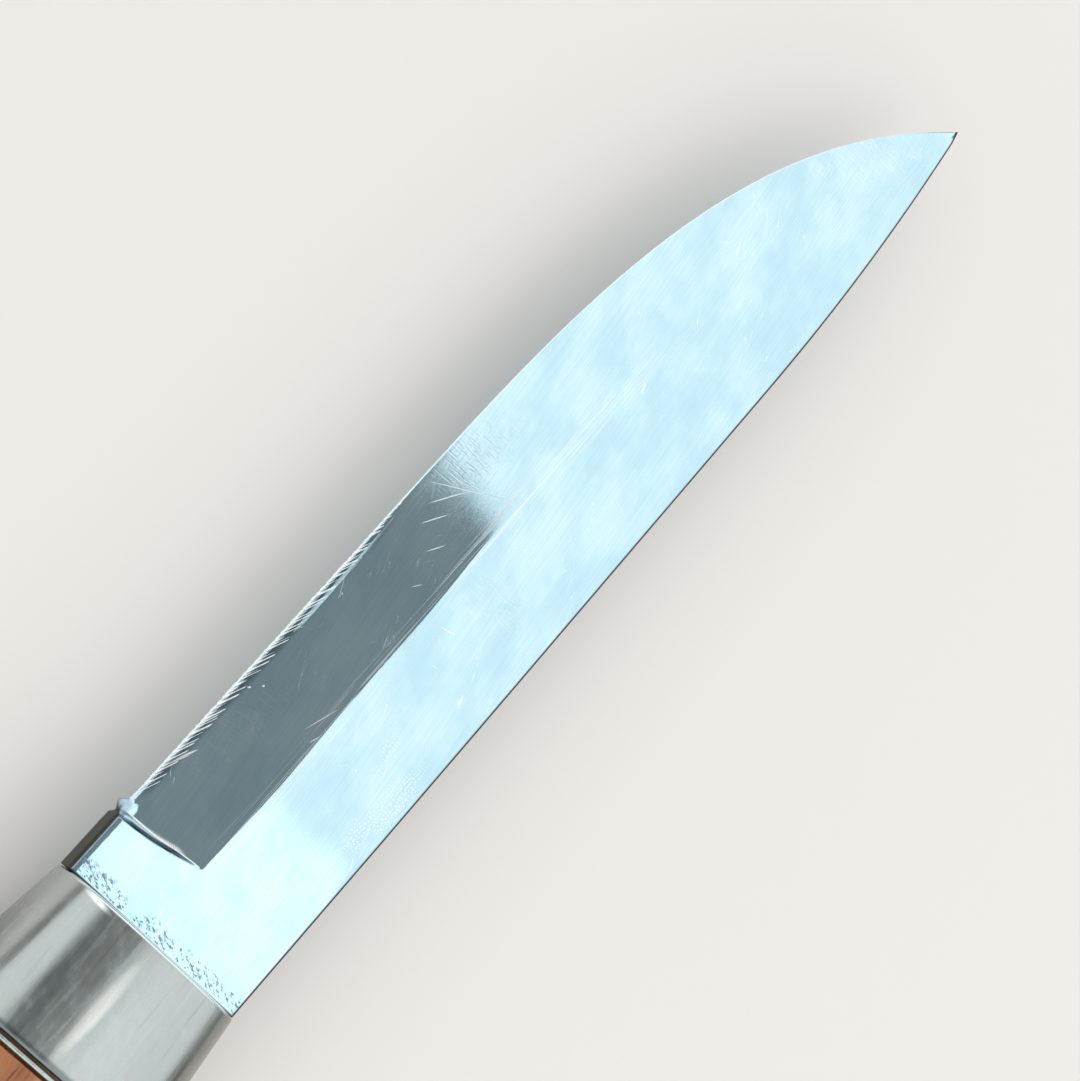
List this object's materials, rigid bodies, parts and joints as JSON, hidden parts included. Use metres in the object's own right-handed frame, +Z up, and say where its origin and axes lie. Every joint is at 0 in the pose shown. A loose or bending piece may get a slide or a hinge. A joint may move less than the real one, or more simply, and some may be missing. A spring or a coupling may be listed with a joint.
{
  "type": "boning knife",
  "caption": "Fixed-blade boning knife with a pointed hollow-ground blade, a flared oval metal ferrule, a contoured hardwood grip and a metal butt cap.",
  "frame": {"origin": "on the surface that the knife lies on, under the middle of its box", "axes": "the knife lies on its side: +X towards the tip, +Y towards the cutting edge, +Z up, square to the flat of the blade"},
  "size_m": [0.2476, 0.03, 0.0188],
  "materials": {
    "blade_steel": "ground and hand polished, with fine lengthwise scratches",
    "nickel_silver": "polished nickel silver, worn to a soft shine",
    "oiled_hardwood": "oiled and hand worn",
    "black_fibre": "vulcanised fibre, matte",
    "cutlers_cement": "set resin cement, matte"
  },
  "bodies": {
    "root": {"blade": "blade_steel", "ferrule_sleeve": "nickel_silver", "ferrule_front_plate": "nickel_silver", "collar_ring": "nickel_silver", "grip": "oiled_hardwood", "tang_cement": "cutlers_cement", "rear_fibre_washer": "black_fibre", "butt_cap": "nickel_silver", "tang_washer": "nickel_silver", "tang_nut": "nickel_silver"}
  },
  "joints": []
}
